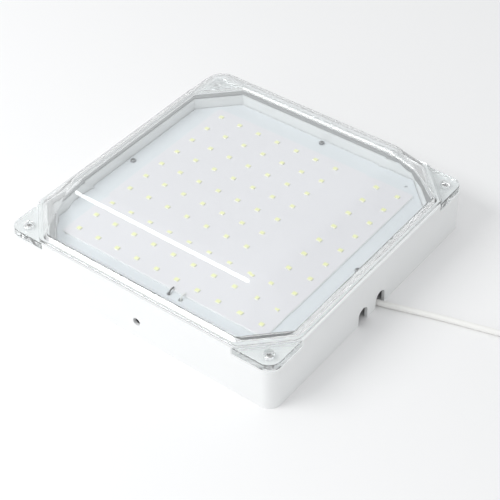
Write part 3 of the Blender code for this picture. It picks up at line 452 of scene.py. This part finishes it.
def cad_mesh(node, flat_degrees):
    """The CAD node's solid, with faces that lie within flat_degrees joined into one."""
    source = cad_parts[node]
    bm = bmesh.new()
    bm.from_mesh(source.data)
    bm.transform(source.matrix_world)
    bmesh.ops.remove_doubles(bm, verts=bm.verts, dist=1e-6)
    bmesh.ops.dissolve_limit(bm, angle_limit=math.radians(flat_degrees), verts=bm.verts,
                             edges=bm.edges)
    mesh = bpy.data.meshes.new(node + "_detail")
    bm.to_mesh(mesh)
    bm.free()
    if "custom_normal" in mesh.attributes:
        mesh.attributes.remove(mesh.attributes["custom_normal"])
    smooth(mesh)
    return mesh


def refine(node, material, slot, body="housing", bevel=0.4 * MM, segments=3):
    """A piece that follows the CAD node with rounded edges."""
    piece = new_piece(node + "_detail", cad_mesh(node, 0.4), material, body, slot, node)
    if bevel:
        edges = piece.modifiers.new("edges", "BEVEL")
        edges.width = bevel
        edges.segments = segments
        edges.limit_method = "ANGLE"
        edges.angle_limit = math.radians(30.0)
        edges.harden_normals = True
    return piece


def refine_tube(node, material, slot):
    """A wire that follows the CAD node's tube, made smooth."""
    piece = new_piece(node + "_detail", cad_mesh(node, 0.01), material, "housing", slot, node)
    rounding = piece.modifiers.new("round", "SUBSURF")
    rounding.levels = rounding.render_levels = 1


def cut_square(half, cut, radius, steps=5):
    """Outline of a square with cut corners, |x| + |y| = cut, its eight corners rounded."""
    low = cut - half
    corners = [(half, -low), (half, low), (low, half), (-low, half),
               (-half, low), (-half, -low), (-low, -half), (low, -half)]
    points = []
    turn = math.radians(45.0)
    reach = radius * math.tan(turn / 2)
    for number, corner in enumerate(corners):
        here = Vector(corner)
        before = (here - Vector(corners[number - 1])).normalized()
        centre = here - before * reach + Vector((-before.y, before.x)) * radius
        spoke = (here - before * reach) - centre
        for step in range(steps + 1):
            point = centre + Matrix.Rotation(turn * step / steps, 2) @ spoke
            points.append((point.x, point.y))
    return points


def skin(bm, loops):
    """Faces between neighbouring loops of equal point counts."""
    count = len(loops[0])
    for lower, upper in zip(loops, loops[1:]):
        for i in range(count):
            j = (i + 1) % count
            bm.faces.new((lower[i], lower[j], upper[j], upper[i]))


def add_loft(bm, rings):
    """A closed solid through rings of points."""
    loops = [[bm.verts.new(point) for point in ring] for ring in rings]
    skin(bm, loops)
    bm.faces.new(loops[0])
    bm.faces.new(loops[-1])


def loft(name, rings):
    bm = bmesh.new()
    add_loft(bm, rings)
    return mesh_from(bm, name)


def cylinder_mesh(radius, length, place, segments=40):
    bm = bmesh.new()
    bmesh.ops.create_cone(bm, cap_ends=True, segments=segments, radius1=radius, radius2=radius,
                          depth=length, matrix=place)
    return mesh_from(bm, "cylinder")


def upright_cylinder(radius, low, high, centre):
    return cylinder_mesh(radius, high - low,
                         Matrix.Translation((centre.x, centre.y, (low + high) / 2)))


def joined(target_mesh, tools, name):
    """The target mesh after each (mesh, operation), as a new mesh."""
    holder = bpy.data.objects.new(name, target_mesh)
    bpy.context.scene.collection.objects.link(holder)
    helpers = []
    for number, (mesh, operation) in enumerate(tools):
        helper = bpy.data.objects.new(f"{name}_tool_{number}", mesh)
        bpy.context.scene.collection.objects.link(helper)
        modifier = holder.modifiers.new(f"step_{number}", "BOOLEAN")
        modifier.solver = "EXACT"
        modifier.operation = operation
        modifier.object = helper
        helpers.append(helper)
    bpy.context.view_layer.update()
    graph = bpy.context.evaluated_depsgraph_get()
    result = bpy.data.meshes.new_from_object(holder.evaluated_get(graph))
    result.name = name
    for helper in (holder, *helpers):
        bpy.data.objects.remove(helper, do_unlink=True)
    return result


# ---------------------------------------------------------------- clear cover

def arc_shares(steps):
    """Sine and cosine of the angles from 0 to 90 degrees, in equal steps."""
    angles = [math.radians(90.0 * step / steps) for step in range(steps + 1)]
    return [(math.sin(angle), math.cos(angle)) for angle in angles]


def dome_profile(offset):
    """Inset and height up the dome's wall and over to its flat top, offset inwards."""
    centre = Vector((DOME_TOP_INSET, DOME_TOP - DOME_ARC_RADIUS))
    reach = centre - Vector((0.0, FLANGE_TOP))
    lean = math.atan2(reach.y, reach.x) + math.asin(DOME_ARC_RADIUS / reach.length)
    radius = DOME_ARC_RADIUS - offset
    foot = Vector((offset * math.sin(lean), FLANGE_TOP - offset * math.cos(lean)))
    turn_in = centre + radius * Vector((-math.sin(lean), math.cos(lean)))
    points = [foot.lerp(turn_in, step / DOME_WALL_STEPS) for step in range(DOME_WALL_STEPS)]
    for step in range(DOME_ARC_STEPS + 1):
        angle = lean * (1.0 - step / DOME_ARC_STEPS)
        points.append(centre + radius * Vector((-math.sin(angle), math.cos(angle))))
    return [tuple(point) for point in points]


def ring(half, cut, z, radius):
    return [(x, y, z) for x, y in cut_square(half, cut, radius)]


def dome_ring(inset, z):
    """The dome's outline where its wall has come in by inset."""
    half = DOME_FOOT - inset
    cut = DOME_FOOT_CUT - inset * DOME_CUT_TAPER
    widest = RIDGE_LIMIT * (2 * half - cut)
    return ring(half, cut, z, min(RIDGE_RADIUS + RIDGE_SPREAD * inset, widest))


def flange_ring(inset, z):
    return ring(FLANGE_HALF - inset, FLANGE_CUT - inset * CUT_PER_INSET, z, FLANGE_CORNER)


def pad_mesh(turn):
    """One corner pad with a rounded top edge."""
    profile = [(PAD_CHAMFER, PAD_BOTTOM), (0.0, PAD_BOTTOM + PAD_CHAMFER)]
    for sine, cosine in arc_shares(PAD_ROUND_STEPS):
        profile.append((PAD_ROUND * (1 - cosine), PAD_TOP - PAD_ROUND * (1 - sine)))
    rings = []
    for inset, z in profile:
        half = PAD_HALF - inset
        radius = PAD_RADIUS - inset
        corner = [(half, PAD_CUT - half, z)]
        for sine, cosine in arc_shares(PAD_CORNER_STEPS):
            corner.append((half - radius * (1 - cosine), half - radius * (1 - sine), z))
        corner.append((PAD_CUT - half, half, z))
        rings.append([turn @ Vector(point) for point in corner])
    return loft("pad", rings)


def neck_mesh(turn):
    """The strip that joins a pad to the flange."""
    outline = [(FLANGE_HALF, PAD_CUT - FLANGE_HALF), (FLANGE_HALF, FLANGE_CUT - FLANGE_HALF),
               (FLANGE_CUT - FLANGE_HALF, FLANGE_HALF), (PAD_CUT - FLANGE_HALF, FLANGE_HALF)]
    levels = (PAD_TOP - NECK_SUNK, FLANGE_BOTTOM + NECK_SUNK)
    return loft("neck", [[turn @ Vector((x, y, z)) for x, y in outline] for z in levels])


def cover_shell():
    """The flange and the dome as one hollow, open at the mouth."""
    mouth = DOME_FOOT - MOUTH_HALF
    inside = dome_profile(DOME_WALL)
    (low_inset, low_z), (high_inset, high_z) = inside[:2]
    meet = low_z + (mouth - low_inset) * (high_z - low_z) / (high_inset - low_inset)
    outer_rings = [dome_ring(mouth, FLANGE_BOTTOM), flange_ring(FLANGE_ROUND, FLANGE_BOTTOM),
                   flange_ring(0.0, FLANGE_BOTTOM + FLANGE_ROUND)]
    for sine, cosine in arc_shares(FLANGE_ROUND_STEPS):
        outer_rings.append(flange_ring(FLANGE_ROUND * (1 - cosine),
                                       FLANGE_TOP - FLANGE_ROUND * (1 - sine)))
    outer_rings += [dome_ring(inset, z) for inset, z in dome_profile(0.0)]
    inner_rings = [dome_ring(inset, z) for inset, z in reversed(inside)
                   if inset > mouth + MOUTH_MARGIN]
    inner_rings.append(dome_ring(mouth, meet))
    bm = bmesh.new()
    loops = [[bm.verts.new(point) for point in points] for points in outer_rings]
    inner_loops = [[bm.verts.new(point) for point in points] for points in inner_rings]
    skin(bm, loops)
    skin(bm, [*inner_loops, loops[0]])
    bm.faces.new(loops[-1])
    bm.faces.new(inner_loops[0])
    return mesh_from(bm, "cover_shell")


def build_cover():
    tools = []
    for number in range(4):
        turn = Matrix.Rotation(math.radians(90.0 * number), 3, "Z")
        centre = turn @ Vector((COVER_SCREW_AT, COVER_SCREW_AT, 0.0))
        tools += [
            (pad_mesh(turn), "UNION"), (neck_mesh(turn), "UNION"),
            (upright_cylinder(SCREW_SEAT_RADIUS, SCREW_SEAT, ABOVE_COVER_PADS, centre),
             "DIFFERENCE"),
            (upright_cylinder(SCREW_HOLE_RADIUS, *SCREW_HOLE_ENDS, centre), "DIFFERENCE"),
        ]
    mesh = joined(cover_shell(), tools, "clear_cover_detail")
    smooth(mesh, degrees=28.0)
    cover = new_piece("clear_cover_detail", mesh, clear_plastic("clear_acrylic"), "cover",
                      "clear_plastic", "clear_cover")
    # Flat faces keep flat normals, so they refract cleanly beside the rounded edges.
    normals = cover.modifiers.new("normals", "WEIGHTED_NORMAL")
    normals.weight = 100
    normals.keep_sharp = True


# ---------------------------------------------------------------- LED board

def add_block(bm, centre, size, levels, edge):
    """A block between two levels, its upper edges bevelled."""
    low, high = levels
    rings = []
    for z, inset in ((low, 0.0), (high - edge, 0.0), (high, edge)):
        dx, dy = size[0] / 2 - inset, size[1] / 2 - inset
        rings.append([(centre[0] + x, centre[1] + y, z)
                      for x, y in ((-dx, -dy), (dx, -dy), (dx, dy), (-dx, dy))])
    add_loft(bm, rings)


def led_places():
    middle = (LED_ROWS - 1) / 2
    return [((column - middle) * LED_PITCH, (row - middle) * LED_PITCH)
            for row in range(LED_ROWS) for column in range(LED_ROWS)
            if column != LED_GAP_COLUMN or row < LED_GAP_FIRST_ROW]


def build_board(materials):
    """The board's metal core and mask, then the LEDs, which all ride as one piece of a kind."""
    edge_line = BOARD_TOP - BOARD_MASK
    layers = (
        ("led_board_metal", "board_core_with_painted_light", ((BOARD_BOTTOM, 0.0), (edge_line, 0.0))),
        ("led_board_mask", "board_mask",
         ((edge_line, BOARD_MASK_INSET), (BOARD_TOP - BOARD_EDGE, BOARD_MASK_INSET),
          (BOARD_TOP, BOARD_MASK_INSET + BOARD_EDGE))),
    )
    rim = cut_square(BOARD_HALF, 2 * BOARD_HALF - BOARD_CORNER, BOARD_CORNER)
    for name, material, levels in layers:
        rings = []
        for z, inset in levels:
            share = 1.0 - inset / BOARD_HALF
            rings.append([(x * share, y * share, z) for x, y in rim])
        layer = new_piece(name, loft(name, rings), materials[material], "housing", "led_board",
                          "led_board")
        smooth(layer.data)

    packages, faces, solder = bmesh.new(), bmesh.new(), bmesh.new()
    for x, y in led_places():
        add_block(packages, (x, y), LED_SIZE, LED_LEVELS, LED_EDGE)
        add_block(faces, (x, y), FACE_SIZE, FACE_LEVELS, FACE_EDGE)
        for side in (-1, 1):
            add_block(solder, (x + side * LED_SIZE[0] / 2, y), SOLDER_SIZE, SOLDER_LEVELS,
                      SOLDER_EDGE)
    for name, bm, material in (("led_packages", packages, "led_package"),
                               ("led_phosphor", faces, "led_phosphor"),
                               ("led_solder", solder, "solder")):
        new_piece(name, mesh_from(bm, name), materials[material], "housing", "led_board")


# ---------------------------------------------------------------- cord and plug

def eased(share):
    """A share from 0 to 1 that starts and ends gently."""
    return share * share * (3 - 2 * share)


def coil_point(turns_done, angle):
    """A point on the coil, in mm. The turns change slots one after another."""
    radius, height = COIL_SLOTS[turns_done]
    turns_left = len(COIL_SLOTS) - 1 - turns_done
    if turns_left:
        begin = COIL_FIRST_SHIFT + COIL_SHIFT * (turns_left - 1)
        share = min(max((angle - begin) / COIL_SHIFT, 0.0), 1.0)
        rise = min(share / COIL_EASE, 1.0)
        shift = max((share - (1.0 - COIL_EASE)) / COIL_EASE, 0.0)
        next_radius, next_height = COIL_SLOTS[turns_done + 1]
        height += (next_height - height) * eased(rise)
        radius += (next_radius - radius) * eased(shift)
    turn = math.radians(angle)
    return Vector((COIL_CENTRE[0] + radius * math.cos(turn),
                   COIL_CENTRE[1] + radius * math.sin(turn), height))


def coil_points():
    points = []
    last_turn = len(COIL_SLOTS) - 1
    for turn in range(last_turn + 1):
        end = COIL_LEAVE if turn == last_turn else COIL_START + 360.0
        angle = COIL_START
        while angle < end - 0.5 * COIL_STEP:
            points.append(coil_point(turn, angle))
            angle += COIL_STEP
    points.append(coil_point(last_turn, COIL_LEAVE))
    return points


def tail_points():
    """The cord from the coil to the plug: straight, sinking to the plug's height."""
    start = coil_points()[-1]
    heading = math.radians(COIL_LEAVE + 90.0)
    points = []
    for step in range(1, TAIL_STEPS + 1):
        share = step / TAIL_STEPS
        points.append(Vector((start.x + TAIL_LENGTH * share * math.cos(heading),
                              start.y + TAIL_LENGTH * share * math.sin(heading),
                              start.z + (TAIL_HEIGHT - start.z) * eased(share))))
    return points


def smooth_points(points, spacing):
    """Points along a smooth curve through the given ones, about spacing apart."""
    padded = [points[0] * 2 - points[1], *points, points[-1] * 2 - points[-2]]
    result = []
    for a, b, c, d in zip(padded, padded[1:], padded[2:], padded[3:]):
        count = max(1, round((c - b).length / spacing))
        for step in range(count):
            t = step / count
            result.append(0.5 * (2 * b + (c - a) * t + (2 * a - 5 * b + 4 * c - d) * t * t
                                 + (3 * b - a - 3 * c + d) * t ** 3))
    result.append(points[-1])
    return result


def build_cord(materials):
    route = [Vector(point) for point in CORD_RUN] + coil_points() + tail_points()
    points = [point * MM for point in smooth_points(route, CORD_SPACING)]
    curve = bpy.data.curves.new("mains_cord", "CURVE")
    curve.dimensions = "3D"
    curve.bevel_depth = CORD_DIAMETER / 2
    curve.bevel_resolution = 6
    curve.use_fill_caps = True
    spline = curve.splines.new("POLY")
    spline.points.add(len(points) - 1)
    for knot, place in zip(spline.points, points):
        knot.co = (*place, 1.0)
    curve.materials.append(materials["cord"])
    cord = bpy.data.objects.new("mains_cord", curve)
    pieces.objects.link(cord)
    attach(cord, "housing")
    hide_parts("power_cord", "cord_coil", "cord_tail")
    return cord


def plug_ring(distance, width, height):
    """One cross-section of the plug: a rectangle with round corners, across X."""
    radius = min(width, height) * PLUG_ROUNDING
    points = []
    for number in range(4):
        middle = math.radians(45.0 + 90.0 * number)
        centre_y = math.copysign(width / 2 - radius, math.cos(middle))
        centre_z = math.copysign(height / 2 - radius, math.sin(middle))
        for step in range(PLUG_CORNER_STEPS + 1):
            angle = math.radians(90.0 * (number + step / PLUG_CORNER_STEPS))
            points.append(Vector((distance, centre_y + radius * math.cos(angle),
                                  centre_z + radius * math.sin(angle))) * MM)
    return points


def groove_mesh(distance, offset):
    bm = bmesh.new()
    place = Matrix.Translation((distance, offset, 0.0))
    bmesh.ops.create_cube(bm, size=1.0, matrix=place @ Matrix.Diagonal((*GROOVE_SIZE, 1.0)))
    return mesh_from(bm, "groove")


def plug_body_mesh():
    """The plug along +X from the cord, with its grooved neck and its pins' holes."""
    sections = smooth_points([Vector(section) for section in PLUG_SECTIONS], PLUG_SPACING)
    tools = [(groove_mesh(GROOVE_FIRST + GROOVE_PITCH * number, side * GROOVE_OFFSET), "DIFFERENCE")
             for number in range(GROOVES) for side in (-1, 1)]
    front = PLUG_SECTIONS[-1][0] * MM
    for side in (-1, 1):
        place = (Matrix.Translation((front, side * PLUG_PIN_GAP / 2, 0.0))
                 @ Matrix.Rotation(math.pi / 2, 4, "Y"))
        tools.append((cylinder_mesh(*PLUG_PIN_HOLE, place, segments=32), "DIFFERENCE"))
    shape = loft("plug_shape", [plug_ring(*section) for section in sections])
    return joined(shape, tools, "plug_body_detail")


def build_plug(materials):
    end = tail_points()[-1] * MM
    mesh = plug_body_mesh()
    mesh.transform(Matrix.Translation((end.x, end.y, (TAIL_HEIGHT + PLUG_RAISED) * MM))
                   @ Matrix.Rotation(math.radians(COIL_LEAVE + 90.0), 4, "Z")
                   @ Matrix.Translation((PLUG_GAP, 0.0, 0.0)))
    smooth(mesh, degrees=40.0)
    body = new_piece("plug_body_detail", mesh, materials["cord"], "housing", "cord", "plug_body")
    pins = [refine(f"plug_pin_{number}", materials["brass"], "brass", bevel=0.2 * MM, segments=2)
            for number in (1, 2)]
    return [body, *pins]


# ---------------------------------------------------------------- everything

def main():
    build_camera()
    materials = build_materials()
    cord = build_cord(materials)
    plug = build_plug(materials)
    tie = refine("coil_tie", materials["tie"], "tie", bevel=0.25 * MM)
    build_stage()

    refine("housing", materials["housing_white"], "housing_white", bevel=0.5 * MM)
    build_cover()
    refine("cover_gasket", materials["gasket"], "gasket", bevel=0.3 * MM)
    refine("led_plate", materials["plate_white"], "plate_white", bevel=0.2 * MM)
    build_board(materials)
    for count, screws in SCREW_GROUPS:
        for number in range(1, count + 1):
            for name, material, slot, body, bevel in screws:
                refine(f"{name}_{number}", materials[material], slot, body, bevel, segments=2)
    for node, slot, bevel, segments in INNER_PIECES:
        refine(node, materials[slot], slot, "housing", bevel, segments)
    for node, slot in WIRES:
        refine_tube(node, materials[slot], slot)


main()
